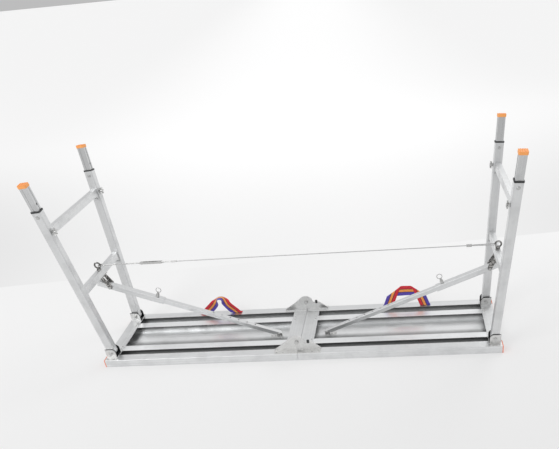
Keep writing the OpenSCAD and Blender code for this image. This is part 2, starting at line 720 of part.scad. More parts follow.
// Star-headed spring pin that locks a foot tube
module lock_pin(e) {
  tip = foot_a / 2 - foot_groove_d + 0.3;
  color("#8d8f93") frame_space() leg_space(e)
    translate([-tip, 0, leg_len(pin_d)]) rotate([0, -90, 0]) {
      cylinder(r = 3, h = tube_a / 2 - tip + 14);
      translate([0, 0, tube_a / 2 - tip + 6.4]) {
        cylinder(r = 6.5, h = 8);
        for (a = [0 : 60 : 300]) rotate(a + 30) translate([0, -1.9, 0]) cube([15.5, 3.8, 6]);
      }
    }
}

// ---- wire rope -----------------------------------------------------------

// The rope is taut: it runs level from the turnbuckle to the loop on the right eye
buckle_x0 = -684;
buckle_x1 = -586;
rope_x0 = -520;    // where the threaded rod takes over from the rope
clamp_l = 22;
loop_r = 7;
loop_x = eye_x - eye_r - eye_t / 2;   // centre of the loop's round end
clamp_x = loop_x - 120;
module bar_x(r, x0, x1) { translate([x0, 0, 0]) rotate([0, 90, 0]) cylinder(r = r, h = x1 - x0); }

module wire_rope() {
  from = clamp_x + clamp_l - 6;
  apart = rope_d / 2 + 0.3;
  run = norm([loop_x - from, apart]);
  lean = atan2(apart, loop_x - from);
  turn = asin(loop_r / run) - lean;   // angle of each strand to the rope
  color("silver") translate([0, 0, eye_z]) {
    bar_x(rope_d / 2, rope_x0 + 2, clamp_x + 6);
    for (k = [-1, 1]) translate([from, k * apart, 0]) rotate([0, 0, k * turn])
      bar_x(rope_d / 2, 0, sqrt(run * run - loop_r * loop_r));
    translate([loop_x, 0, 0]) rotate([0, 0, -90 - turn]) rotate_extrude(angle = 180 + 2 * turn)
      translate([loop_r, 0]) circle(rope_d / 2);
  }
}
// Turnbuckle with its hook, and the clamp that closes the rope's loop
module rope_fittings() {
  link_r = 9.5;
  link_x = -loop_x + 2.5;
  color("silver") translate([0, 0, eye_z]) {
    // frame of the turnbuckle
    difference() {
      translate([buckle_x0, -5.5, -5]) cube([buckle_x1 - buckle_x0, 11, 10]);
      translate([buckle_x0 + 14, -3.5, -6]) cube([buckle_x1 - buckle_x0 - 28, 7, 12]);
      bar_x(2.7, buckle_x0 - 1, buckle_x0 + 15);
      bar_x(2.7, buckle_x1 - 15, buckle_x1 + 1);
    }
    // threaded ends, the left one with an open hook in the left eye
    bar_x(2.5, buckle_x1 - 30, rope_x0 + 1.8);
    bar_x(4.5, buckle_x1 + 0.3, buckle_x1 + 7);
    bar_x(4.5, buckle_x0 - 7, buckle_x0 - 0.3);
    bar_x(3.8, rope_x0 - 22, rope_x0 + 1.8);
    difference() {
      union() {
        bar_x(2.5, link_x + link_r, buckle_x0 + 38);
        translate([link_x, 0, 0]) rotate_extrude() translate([link_r, 0]) circle(2.5);
      }
      translate([link_x + 0.5, -link_r - 4, -4]) cube([link_r - 2, 8, 8]);
    }
    // clamp on the loop
    difference() {
      bar_x(6.2, clamp_x, clamp_x + clamp_l);
      bar_x(rope_d / 2 + 0.2, clamp_x - 1, clamp_x + clamp_l / 2);
      translate([clamp_x + clamp_l / 2 - 1, -rope_d - 0.8, -rope_d / 2 - 0.3])
        cube([clamp_l, 2 * rope_d + 1.6, rope_d + 0.6]);
    }
  }
}

// ---- the nodes -----------------------------------------------------------

module pair(s) { side(s) edges() children(); }

side(L) edge(FRONT) rail();  // left_front_rail
side(L) edge(REAR) rail();  // left_rear_rail
side(R) edge(FRONT) rail();  // right_front_rail
side(R) edge(REAR) rail();  // right_rear_rail
side(L) plank();  // left_plank
side(R) plank();  // right_plank
side(L) end_beam();  // left_end_beam
side(R) end_beam();  // right_end_beam
side(L) centre_beam();  // left_centre_beam
side(R) centre_beam();  // right_centre_beam
hinge_plates(L);  // left_hinge_plates
hinge_plates(R);  // right_hinge_plates
hinge_bolts();
hinge_stops();
pair(L) rail_cap();  // left_rail_caps
pair(R) rail_cap();  // right_rail_caps
pair(L) leg_bracket();  // left_leg_brackets
pair(R) leg_bracket();  // right_leg_brackets
pair(L) bracket_liner();  // left_bracket_liners
pair(R) bracket_liner();  // right_bracket_liners
pair(L) leg_pivot_bolt();  // left_leg_pivot_bolts
pair(R) leg_pivot_bolt();  // right_leg_pivot_bolts
side(L) brace_anchor();  // left_brace_anchor
side(R) brace_anchor();  // right_brace_anchor
deck_fasteners(L);  // left_deck_fasteners
deck_fasteners(R);  // right_deck_fasteners
left_handle();
right_handle();
side(L) leg_tubes();  // left_leg_tubes
side(R) leg_tubes();  // right_leg_tubes
side(L) crossbars();  // left_crossbars
side(R) crossbars();  // right_crossbars
side(L) tube_guides();  // left_tube_guides
side(R) tube_guides();  // right_tube_guides
side(L) leg_fasteners();  // left_leg_fasteners
side(R) leg_fasteners();  // right_leg_fasteners
side(L) eye_bolt();  // left_eye_bolt
side(R) eye_bolt();  // right_eye_bolt
side(L) brace_bracket();  // left_brace_bracket
side(R) brace_bracket();  // right_brace_bracket
side(L) brace_sleeve();  // left_brace_sleeve
side(R) brace_sleeve();  // right_brace_sleeve
side(L) brace_rod();  // left_brace_rod
side(R) brace_rod();  // right_brace_rod
side(L) brace_pin();  // left_brace_pin
side(R) brace_pin();  // right_brace_pin
side(L) foot(FRONT);  // left_front_foot
side(L) foot(REAR);  // left_rear_foot
side(R) foot(FRONT);  // right_front_foot
side(R) foot(REAR);  // right_rear_foot
side(L) foot_cap(FRONT);  // left_front_foot_cap
side(L) foot_cap(REAR);  // left_rear_foot_cap
side(R) foot_cap(FRONT);  // right_front_foot_cap
side(R) foot_cap(REAR);  // right_rear_foot_cap
side(L) lock_pin(FRONT);  // left_front_lock_pin
side(L) lock_pin(REAR);  // left_rear_lock_pin
side(R) lock_pin(FRONT);  // right_front_lock_pin
side(R) lock_pin(REAR);  // right_rear_lock_pin
wire_rope();
rope_fittings();
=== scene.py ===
# %% [markdown]
# # A folding work platform, lying upside down
# The platform is a light aluminium bench that decorators stand on. Here it lies on its walking face, with the
# four telescopic legs pointing up. Its shape comes from an exact model that is loaded as a fixed frame. This
# script gives that model its finishes, and adds the soft and twisted pieces that a solid modeller draws badly:
# the striped webbing handles, the laid steel rope and the weld beads.

# %% Load the frame
from math import atan2, ceil, cos, hypot, pi, radians, sin, tan

import bmesh
import bpy
from mathutils import Matrix, Vector


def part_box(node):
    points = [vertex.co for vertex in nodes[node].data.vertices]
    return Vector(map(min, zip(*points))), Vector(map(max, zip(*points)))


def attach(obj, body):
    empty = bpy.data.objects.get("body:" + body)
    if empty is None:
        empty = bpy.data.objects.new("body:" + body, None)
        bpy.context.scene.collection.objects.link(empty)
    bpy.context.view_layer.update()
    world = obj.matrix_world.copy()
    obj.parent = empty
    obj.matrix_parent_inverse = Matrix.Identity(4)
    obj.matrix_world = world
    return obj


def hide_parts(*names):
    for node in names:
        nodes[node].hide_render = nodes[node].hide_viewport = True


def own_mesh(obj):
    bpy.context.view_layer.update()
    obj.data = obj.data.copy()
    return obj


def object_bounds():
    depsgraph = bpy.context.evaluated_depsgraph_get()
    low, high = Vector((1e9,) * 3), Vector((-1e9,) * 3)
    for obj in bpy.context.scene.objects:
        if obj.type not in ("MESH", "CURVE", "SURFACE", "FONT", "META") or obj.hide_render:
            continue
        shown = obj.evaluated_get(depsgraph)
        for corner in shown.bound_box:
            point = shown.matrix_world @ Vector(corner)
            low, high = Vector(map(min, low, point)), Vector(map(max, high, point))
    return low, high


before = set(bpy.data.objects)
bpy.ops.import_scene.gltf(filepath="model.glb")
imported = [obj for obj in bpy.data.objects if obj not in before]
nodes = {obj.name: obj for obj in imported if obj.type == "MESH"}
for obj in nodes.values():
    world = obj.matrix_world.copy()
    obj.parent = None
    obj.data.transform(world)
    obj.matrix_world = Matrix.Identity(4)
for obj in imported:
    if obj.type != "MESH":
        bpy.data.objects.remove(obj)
cad_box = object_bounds()

# %% [markdown]
# ## The view
# A camera is placed by where it stands and by the three directions of its own axes. Yaw turns it about the
# upright axis, pitch tips it down, and roll leans the whole view. The lens shift slides the picture sideways
# without turning the camera, which keeps the upright legs leaning as a wide lens draws them.

# %% Camera
VIEW_YAW, VIEW_PITCH, VIEW_ROLL = radians(-6.709), radians(33.118), radians(-6.008)
forward = Vector((sin(VIEW_YAW) * cos(VIEW_PITCH), cos(VIEW_YAW) * cos(VIEW_PITCH), -sin(VIEW_PITCH)))
level = Vector((cos(VIEW_YAW), -sin(VIEW_YAW), 0))
above = level.cross(forward)
right = level * cos(VIEW_ROLL) + above * sin(VIEW_ROLL)
up = above * cos(VIEW_ROLL) - level * sin(VIEW_ROLL)

camera = bpy.data.objects.new("camera", bpy.data.cameras.new("camera"))
bpy.context.scene.collection.objects.link(camera)
turned = Matrix((
    (right.x, up.x, -forward.x, 0),
    (right.y, up.y, -forward.y, 0),
    (right.z, up.z, -forward.z, 0),
    (0, 0, 0, 1)))
camera.matrix_world = Matrix.Translation((0.5036, -2.3342, 1.5565)) @ turned
camera.data.sensor_width = 36
camera.data.lens = 38.52
camera.data.shift_x, camera.data.shift_y = -0.1286, 0.1874
camera.data.clip_end = 60
bpy.context.scene.camera = camera

# %% [markdown]
# ## Shader maths as plain expressions
# A material is a graph of small nodes. Written out by hand, each sum takes five lines, so one class wraps a
# socket and lets ordinary operators build the graph: `1 - mask * 0.3` adds the two Math nodes that it needs.
# Numbers stay numbers until they meet a socket, and vectors go through Vector Math because a Math node would
# flatten them to one value.

# %% The socket class
class Flow:
    """One output of a node. Arithmetic on it adds nodes to the same material."""

    def __init__(self, paint, socket):
        self.paint, self.socket = paint, socket

    @property
    def many(self):
        return self.socket.type in ("VECTOR", "RGBA")

    def _sum(self, operation, a, b):
        vector = any(isinstance(x, Flow) and x.many or isinstance(x, (tuple, Vector)) for x in (a, b))
        if not vector:
            return self.paint.node("ShaderNodeMath", {0: a, 1: b}, operation=operation)
        a, b = ((x, x, x) if isinstance(x, (int, float)) else x for x in (a, b))
        return self.paint.node("ShaderNodeVectorMath", {0: a, 1: b}, operation=operation)

    def __add__(self, other): return self._sum("ADD", self, other)
    def __radd__(self, other): return self._sum("ADD", other, self)
    def __sub__(self, other): return self._sum("SUBTRACT", self, other)
    def __rsub__(self, other): return self._sum("SUBTRACT", other, self)
    def __mul__(self, other): return self._sum("MULTIPLY", self, other)
    def __rmul__(self, other): return self._sum("MULTIPLY", other, self)
    def __truediv__(self, other): return self._sum("DIVIDE", self, other)
    def __rtruediv__(self, other): return self._sum("DIVIDE", other, self)
    def __gt__(self, other): return self._sum("GREATER_THAN", self, other)
    def __lt__(self, other): return self._sum("LESS_THAN", self, other)
    def __abs__(self): return self.apply("ABSOLUTE")

    def apply(self, operation, other=0.0, third=0.0):
        kind = "ShaderNodeVectorMath" if self.many else "ShaderNodeMath"
        values = {0: self, 1: (other,) * 3 if self.many and isinstance(other, float) else other}
        if third and not self.many:
            values[2] = third
        return self.paint.node(kind, values, operation=operation)

    def dot(self, other):
        return self.paint.node("ShaderNodeVectorMath", {0: self, 1: other}, out="Value",
                               operation="DOT_PRODUCT")

    def part(self, letter):
        return self.paint.node("ShaderNodeSeparateXYZ", {0: self}, out=letter)

    def clamped(self):
        return self.paint.node("ShaderNodeClamp", {0: self})

    def ramp(self, low, high, to_low=0.0, to_high=1.0):
        """Carries low..high to to_low..to_high with soft ends."""
        return self.paint.node("ShaderNodeMapRange", {0: self, 1: low, 2: high, 3: to_low, 4: to_high},
                               interpolation_type="SMOOTHSTEP")


class Paint:
    """A material under construction."""

    def __init__(self, name):
        self.material = bpy.data.materials.new(name)
        self.material.use_nodes = True
        self.tree = self.material.node_tree
        self.shader = self.tree.nodes["Principled BSDF"]

    def node(self, kind, values=None, out=None, **settings):
        """Adds one node: its settings first, then a value or a link for each socket. Returns one output."""
        made = self.tree.nodes.new(kind)
        for key, value in settings.items():
            if key == "stops":
                while len(made.color_ramp.elements) < len(value):
                    made.color_ramp.elements.new(0.5)
                for element, (at, colour) in zip(made.color_ramp.elements, value):
                    element.position, element.color = at, (*colour, 1)
            else:
                setattr(made, key, value)
        for key, value in (values or {}).items():
            self.feed(made.inputs[key], value)
        return Flow(self, made.outputs[out] if out else next(o for o in made.outputs if o.enabled))

    def feed(self, socket, value):
        if isinstance(value, Flow):
            self.tree.links.new(value.socket, socket)
        elif socket.type == "RGBA" and len(value) == 3:
            socket.default_value = (*value, 1)
        else:
            socket.default_value = value

    def place(self):
        return self.node("ShaderNodeTexCoord", out="Object")

    def noise(self, at, scale, detail=2.0, rough=0.5):
        return self.node("ShaderNodeTexNoise", {"Vector": at, "Scale": scale, "Detail": detail, "Roughness": rough},
                         out="Fac")

    def mix(self, mask, a, b):
        return self.node("ShaderNodeMix", {0: mask, 6: a, 7: b}, out=2, data_type="RGBA")

    def grey(self, value, tint=(1, 1, 1)):
        """A neutral colour from one varying value, tinted by a fixed colour."""
        return self.node("ShaderNodeCombineXYZ", {0: value * tint[0], 1: value * tint[1], 2: value * tint[2]})

    def bump(self, height, strength=0.3, distance=0.0003, normal=None):
        values = {"Strength": strength, "Distance": distance, "Height": height}
        if normal:
            values["Normal"] = normal
        return self.node("ShaderNodeBump", values)

    def finish(self, **sockets):
        for name, value in sockets.items():
            self.feed(self.shader.inputs[name.replace("_", " ")], value)
        return self.material


# %% [markdown]
# ## Extruded aluminium
# Rails, ribs and tubes are pushed through a die, which drags fine straight lines along the whole length. The
# metal is left unpolished, so it is bright but blurred, with dull smears where hands and racks rubbed it. A
# noise that is squeezed a hundredfold along the length gives the lines, and it needs the direction of each
# profile. The four legs lean four ways, so they are mirrored into one before their lines are drawn.
#
# The tray of the deck is darker and duller inside than on its edges. That darkening is painted shade, not lit: it
# reads which way a face looks and how high it is, so the dark bands stay where they are in any light.

# %% Extruded aluminium
def extruded(name, along, mirrored=False, tone=0.74, shine=0.36, dull=None):
    """Mill-finish aluminium with its die lines running along one direction; dull gives 0 to 1 for painted shade."""
    p = Paint(name)
    at = p.place()
    if mirrored:
        at = abs(at)
    run = at.dot(along)
    line = p.node("ShaderNodeVectorMath", {0: along, 3: run}, operation="SCALE")
    across = at - line
    slow = line * 3.0
    fine = p.noise(across * 900.0 + slow, 1.0, 2.0, 0.6)
    broad = p.noise(across * 160.0 + slow * 0.6, 1.0, 1.0)
    smear = p.noise(at * 14.0, 1.0, 3.0, 0.6).ramp(0.42, 0.68)
    scuff = p.noise(across * 300.0 + line * 45.0, 1.0, 2.0, 0.7).ramp(0.66, 0.72)
    value = tone + (broad - 0.5) * 0.13 + (fine - 0.5) * 0.08 - smear * 0.05 + scuff * 0.06
    rough = shine + (broad - 0.5) * 0.16 + smear * 0.14 - scuff * 0.08
    height = fine * 0.6 + broad * 0.4 - scuff * 0.5
    if dull:
        # Painted shade: this mask darkens the colour and raises the roughness with it.
        painted_shade = dull(p)
        value = value * (1.0 - painted_shade)
        rough = rough + painted_shade * 0.12
    return p.finish(Base_Color=p.grey(value, (0.985, 0.995, 1.0)), Metallic=1.0, Roughness=rough,
                    Normal=p.bump(height, 0.32, 0.00025))


def plank_painted_shade(p):
    """Painted shade: darker towards the top of the ribs' walls, and along the front half of the plank's floor
    behind the front rib.
    """
    at, facing = p.place(), p.node("ShaderNodeTexCoord", out="Normal")
    wall = abs(facing.part("Y")) > 0.7
    on_wall = at.part("Z").ramp(0.002, 0.029, 0.12, 0.82)
    on_floor = at.part("Y").ramp(-0.030, 0.006, 0.56, 0.0) * (1.0 - (at.part("Z") > 0.006))
    return wall * on_wall + (1.0 - wall) * on_floor


def rail_painted_shade(p):
    """Painted shade: darker towards the top of the walls that face the tray."""
    at, facing = p.place(), p.node("ShaderNodeTexCoord", out="Normal")
    inward = at.part("Y") * facing.part("Y") < -0.05
    return inward * at.part("Z").ramp(0.008, 0.036, 0.10, 0.80)


LEG_LEAN, LEG_SPREAD, BRACE_TILT = radians(3.4), radians(6.34), radians(21.87)
leg_way = (sin(LEG_LEAN) * cos(LEG_SPREAD), sin(LEG_SPREAD), cos(LEG_LEAN) * cos(LEG_SPREAD))
alu_rail = extruded("alu_along_the_deck", (1, 0, 0), tone=0.78, dull=rail_painted_shade)
alu_plank = extruded("alu_plank", (1, 0, 0), tone=0.90, shine=0.36, dull=plank_painted_shade)
alu_beam = extruded("alu_across_the_deck", (0, 1, 0), tone=0.75, shine=0.42)
alu_leg = extruded("alu_legs", leg_way, mirrored=True, tone=0.72)
alu_foot = extruded("alu_feet", leg_way, mirrored=True, tone=0.62, shine=0.30)
alu_brace = extruded("alu_braces", (cos(BRACE_TILT), 0, sin(BRACE_TILT)), mirrored=True, tone=0.76)

# %% [markdown]
# ## Plated and dark steel
# Hinge plates and brackets are pressed from zinc-plated sheet. Zinc freezes in small grains, each a slightly
# different grey, which a Voronoi pattern gives directly: it fills space with cells and hands each one its own
# value. Bolts are the same metal, smoother and brighter. The eye bolts are left black and oily, so they have a
# rough dark oxide that thins to bare metal in places.

# %% Steel finishes
def zinc(name, tone=0.66, shine=0.38, grain=260.0):
    """Zinc-plated sheet: small grains, water marks and a fine rolled texture."""
    p = Paint(name)
    at = p.place()
    cells = p.node("ShaderNodeTexVoronoi", {"Vector": at, "Scale": grain}, out="Color").part("X")
    marks = p.noise(at * 40.0, 1.0, 4.0, 0.6)
    rolled = p.noise(at * (2400.0, 2400.0, 2400.0), 1.0, 1.0)
    value = tone + (cells - 0.5) * 0.09 + (marks - 0.5) * 0.16
    rough = shine + (cells - 0.5) * 0.14 + (marks - 0.5) * 0.2
    return p.finish(Base_Color=p.grey(value, (1.0, 1.0, 0.99)), Metallic=1.0, Roughness=rough,
                    Normal=p.bump(rolled * 0.5 + cells * 0.2, 0.2, 0.0002))


def oxide(name):
    """Dark oiled steel, worn to bare metal in small patches."""
    p = Paint(name)
    at = p.place()
    worn = p.noise(at * 130.0, 1.0, 4.0, 0.7).ramp(0.46, 0.58)
    speck = p.noise(at * 900.0, 1.0, 2.0)
    value = 0.08 + worn * 0.42 + speck * 0.06
    return p.finish(Base_Color=p.grey(value, (1.0, 0.98, 0.95)), Metallic=0.4 + worn * 0.5,
                    Roughness=0.52 - worn * 0.14 + (speck - 0.5) * 0.15,
                    Normal=p.bump(speck + worn * 0.6, 0.3, 0.0003))


zinc_plate = zinc("zinc_plate", tone=0.70)
zinc_fitting = zinc("zinc_fitting", tone=0.56, shine=0.3, grain=700.0)
dark_steel = oxide("dark_steel")

# %% [markdown]
# ## Moulded plastic
# The foot caps and the rail's end caps are injection moulded. Spark-eroded moulds leave a fine stipple, and
# the soft plastic picks up grey scuffs where it meets the ground. The black guides and liners are a slippery
# nylon, with a slight satin gloss and paler rub marks.

# %% Plastics
def moulded(name, colour, scuffed, shine=0.5, scuff=0.35):
    """Stippled plastic with scuffs of a second colour."""
    p = Paint(name)
    at = p.place()
    stipple = p.noise(at * 2600.0, 1.0, 1.0)
    patch = p.noise(at * 55.0, 1.0, 4.0, 0.65)
    rub = patch.ramp(0.5, 0.74)
    clouds = p.mix((patch - 0.2).clamped(), colour, tuple(min(1.0, c * 1.25) for c in colour))
    return p.finish(Base_Color=p.mix(rub * scuff, clouds, scuffed),
                    Roughness=shine + rub * 0.2 + (stipple - 0.5) * 0.12,
                    Normal=p.bump(stipple + rub * 0.3, 0.25, 0.00025))


orange_cap = moulded("orange_cap", (0.92, 0.36, 0.10), (0.80, 0.52, 0.34))
red_cap = moulded("red_cap", (0.78, 0.20, 0.10), (0.62, 0.40, 0.34))
black_nylon = moulded("black_nylon", (0.016, 0.017, 0.018), (0.10, 0.10, 0.105), shine=0.42, scuff=0.5)

# %% Give each solid its finish
finish_of = {
    "rail": alu_rail, "plank": alu_plank, "beam": alu_beam, "crossbars": alu_beam, "leg_tubes": alu_leg,
    "foot": alu_foot, "brace_sleeve": alu_brace, "brace_rod": alu_brace, "hinge_plates": zinc_plate,
    "leg_brackets": zinc_plate, "brace_anchor": zinc_plate, "brace_bracket": dark_steel, "eye_bolt": dark_steel,
    "rope_fittings": zinc_fitting, "rail_caps": red_cap, "foot_cap": orange_cap, "bracket_liners": black_nylon,
    "tube_guides": black_nylon, "hinge_stops": black_nylon, "fasteners": zinc_fitting, "bolts": zinc_fitting,
    "pin": zinc_fitting, "wire_rope": zinc_fitting, "handle": zinc_fitting}


def finish_for(name):
    """The finish whose key is the longest ending of the node's name."""
    return finish_of[max((k for k in finish_of if name.endswith(k)), key=len)]


for name, solid in nodes.items():
    if not solid.material_slots:
        solid.data.materials.append(finish_for(name))
    for holder in solid.material_slots:
        holder.material = finish_for(name)
print("finishes", len({finish_for(n).name for n in nodes}))


# %% [markdown]
# ## Helpers for meshes
# Most of the added pieces are strips or tubes: a row of points that is carried along a path. One helper joins
# such rows into a skin, and closes it where it should be closed. The wires are left open at a strip's edges,
# because a Solidify modifier gives the webbing its thickness later.

# %% Skins and tubes
def new_piece(name, body, material, skin):
    """Turns a bmesh into an object that rides on a body."""
    mesh = bpy.data.meshes.new(name)
    skin.normal_update()
    skin.to_mesh(mesh)
    skin.free()
    piece = bpy.data.objects.new(name, mesh)
    bpy.context.scene.collection.objects.link(piece)
    mesh.materials.append(material)
    for face in mesh.polygons:
        face.use_smooth = True
    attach(piece, body)
    return piece


def add_skin(skin, rows, closed=False, ends=False):
    """Joins rows of points into quads. closed joins each row's ends, ends fills the first and last rows."""
    grid = [[skin.verts.new(p) for p in row] for row in rows]
    count = len(rows[0])
    for a, b in zip(grid, grid[1:]):
        for i in range(count if closed else count - 1):
            j = (i + 1) % count
            skin.faces.new((a[i], a[j], b[j], b[i]))
    if ends:
        skin.faces.new(list(reversed(grid[0])))
        skin.faces.new(grid[-1])
    return grid


def tube_rows(path, radius, sides=12, lobes=0, pitch=0.03, depth=0.0):
    """Rings along a path. Lobes wind round it like the strands of a rope."""
    rows, travelled, side = [], 0.0, None
    for i, point in enumerate(path):
        ahead = (path[min(i + 1, len(path) - 1)] - path[max(i - 1, 0)]).normalized()
        if side is None:
            side = ahead.cross(Vector((0, 0, 1)) if abs(ahead.z) < 0.9 else Vector((1, 0, 0))).normalized()
        side = (side - ahead * side.dot(ahead)).normalized()
        other = ahead.cross(side)
        travelled += (point - path[i - 1]).length if i else 0.0
        turn = 2 * pi * travelled / pitch
        ring = []
        for k in range(sides):
            a = 2 * pi * k / sides
            r = radius * (1 - depth * (1 - abs(sin(lobes * (a - turn) / 2)))) if lobes else radius
            ring.append(point + side * (r * cos(a)) + other * (r * sin(a)))
        rows.append(ring)
    return rows


def ramp01(x):
    x = min(1.0, max(0.0, x))
    return x * x * (3 - 2 * x)


# %% [markdown]
# ## Striped webbing
# The carry handles are one flat strap each, woven in stripes of red, orange and purple with dark lines between.
# A woven strap can't turn a corner in its own plane, so it either folds over at a slant or rolls over on a
# bend. The stripes follow the strap, not the room, so they are read from its UV map: across the width for the
# colours, along the length for the weave. Each pick of the weave stands up as a small pillow.

# %% Webbing finish
def webbing(name, width):
    p = Paint(name)
    uv = p.node("ShaderNodeUVMap")
    u, v = uv.part("X"), uv.part("Y")
    pick = (v * (2 * pi / 0.0021)).apply("SINE")
    warp = (u * (2 * pi * width / 0.0019)).apply("SINE")
    pillow = (pick * warp) * 0.5 + 0.5
    fuzz = p.noise(uv * (260.0, 2600.0, 1.0), 1.0, 3.0, 0.7)
    red, orange = (0.70, 0.020, 0.038), (0.95, 0.36, 0.08)
    purple, ink = (0.10, 0.062, 0.44), (0.04, 0.016, 0.04)
    wavy = u + (fuzz - 0.5) * 0.012
    band = p.node("ShaderNodeValToRGB", {0: wavy.clamped()}, out="Color", stops=[
        (0.0, purple), (0.33, ink), (0.385, orange), (0.61, ink), (0.665, red)])
    band.socket.node.color_ramp.interpolation = "CONSTANT"
    shade = 0.80 + pillow * 0.26 + (fuzz - 0.5) * 0.22
    return p.finish(Base_Color=band * shade, Sheen_Weight=0.35,
                    Roughness=0.78 - pillow * 0.1 + (fuzz - 0.5) * 0.1,
                    Normal=p.bump(pillow * 0.8 + fuzz * 0.4, 0.6, 0.0005))


STRAP_W, STRAP_T = 0.050, 0.0017
strap_cloth = webbing("striped_webbing", STRAP_W)
COLUMNS = 13


def strap_piece(name, body, rows, replaced):
    """A strap from rows of (point, u, v): a skin with its UV map, thickened and softened."""
    skin = bmesh.new()
    uv_layer = skin.loops.layers.uv.new("UVMap")
    grid = add_skin(skin, [[q[0] for q in row] for row in rows])
    where = {grid[i][j]: rows[i][j][1:] for i in range(len(rows)) for j in range(len(rows[0]))}
    for face in skin.faces:
        for loop in face.loops:
            loop[uv_layer].uv = where[loop.vert]
    flat_area = sum(f.calc_area() for f in skin.faces)
    piece = new_piece(name, body, strap_cloth, skin)
    thick = piece.modifiers.new("thickness", "SOLIDIFY")
    thick.thickness, thick.offset = STRAP_T, 0
    soft = piece.modifiers.new("soft", "SUBSURF")
    soft.levels = soft.render_levels = 1
    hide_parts(replaced)
    print(name, "cloth", round(flat_area * 1e4, 1), "square cm")
    return piece, flat_area


# %% [markdown]
# ## The left handle: a strap that rolls over
# This strap stands up as a narrow arch. Its two legs face the front, and at the crown the strap rolls over so
# that its flat side faces up and its red edge goes to the back. Each row of points has a centre on the arch
# and a direction across the strap, which swings from the arch's own plane to straight back near the crown.

# %% Left handle
low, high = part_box("left_handle")
mid_x, floor_z, wall_y = (low.x + high.x) / 2, low.z, low.y + 0.0015
half = (high.x - low.x) / 2 - STRAP_W / 2
crown = high.z - low.z
CROWN_SHIFT = 0.009


def arch(t):
    """The arch's centre line for t from -1 to 1, seen from the front: (across, height)."""
    s = abs(t)
    knots = [(0.000, crown - 0.004), (0.014, crown - 0.008), (0.026, crown - 0.028), (0.042, crown - 0.052),
             (half, 0.0015)]
    lengths = [0.0]
    for a, b in zip(knots, knots[1:]):
        lengths.append(lengths[-1] + hypot(b[0] - a[0], b[1] - a[1]))
    want = s * lengths[-1]
    for k in range(len(knots) - 1):
        if want <= lengths[k + 1] or k == len(knots) - 2:
            f = (want - lengths[k]) / (lengths[k + 1] - lengths[k])
            p0, p1, p2, p3 = (knots[min(max(k + d, 0), len(knots) - 1)] for d in (-1, 0, 1, 2))
            if k == 0:
                p0 = (-p2[0], p2[1])
            point = [0.5 * (2 * b + (c - a) * f + (2 * a - 5 * b + 4 * c - d) * f * f
                            + (3 * b - a - 3 * c + d) * f ** 3) for a, b, c, d in zip(p0, p1, p2, p3)]
            return (point[0] if t >= 0 else -point[0]), point[1]


def left_rows():
    rows, length, last = [], 0.0, None
    for k in range(-2, 57):
        pad = max(0, -k) + max(0, k - 54)
        t = min(1.0, max(-1.0, (k - 27) / 27))
        x, z = arch(t)
        x2, z2 = arch(min(1.0, t + 0.01))
        x1, z1 = arch(max(-1.0, t - 0.01))
        ahead = Vector((x2 - x1, 0, z2 - z1)).normalized()
        outward = Vector((-ahead.z, 0, ahead.x))
        roll = ramp01(1 - abs(t) / 0.5)
        foot = ramp01((abs(t) - 0.72) / 0.28)
        sideways = Vector((-1 if t < 0 else 1, 0, 0))
        across = outward.lerp(Vector((0, 1, 0.05)), roll).lerp(sideways, foot).normalized()
        centre = Vector((mid_x + x + CROWN_SHIFT * ramp01(1 - abs(t)), wall_y + 0.006 * roll, floor_z + z))
        if pad:
            centre.y += 0.0075 * pad
        length += (centre - last).length if last else 0.0
        last = centre.copy()
        row = []
        for j in range(COLUMNS):
            s = (j / (COLUMNS - 1) - 0.5)
            width = STRAP_W * (0.86 + 0.14 * foot)
            point = centre + across * (s * width)
            point.z -= roll * max(0.0, s - 0.05) ** 2 * 0.085
            point.y += 0.0012 * sin(9 * t + 3 * s) * (1 - foot)
            row.append((point, s + 0.5, length))
        rows.append(row)
    return rows, length


rows, strap_length = left_rows()
left_strap, cloth = strap_piece("left_strap", "left_deck", rows, "left_handle")
strap_length * 1.03
min(cloth, STRAP_W * strap_length * 1.03)
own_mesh(left_strap)

# %% [markdown]
# ## The right handle: a strap that is folded over
# This strap keeps flat, so each of its two corners is a slanted fold. A fold is a reflection: the strap's
# outer purple edge runs up the leg, and after the fold it is the lower edge of the top bar. The strap is laid
# out flat first, as a length and a width. Each stretch then has its own place and direction, and the fold
# lines are where two stretches agree, which gives the slant.

# %% Right handle
low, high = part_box("right_handle")
mid_x, floor_z, wall_y = (low.x + high.x) / 2, low.z, low.y + 0.0015
reach = (high.x - low.x) / 2 - STRAP_W / 2
BAR_Z, BAR_HALF, BACK_LEAN = high.z - low.z - STRAP_W * 0.45, 0.060, radians(16)
turn = atan2(BAR_Z, reach - BAR_HALF)
fold_slope = (1 + cos(turn)) / sin(turn)


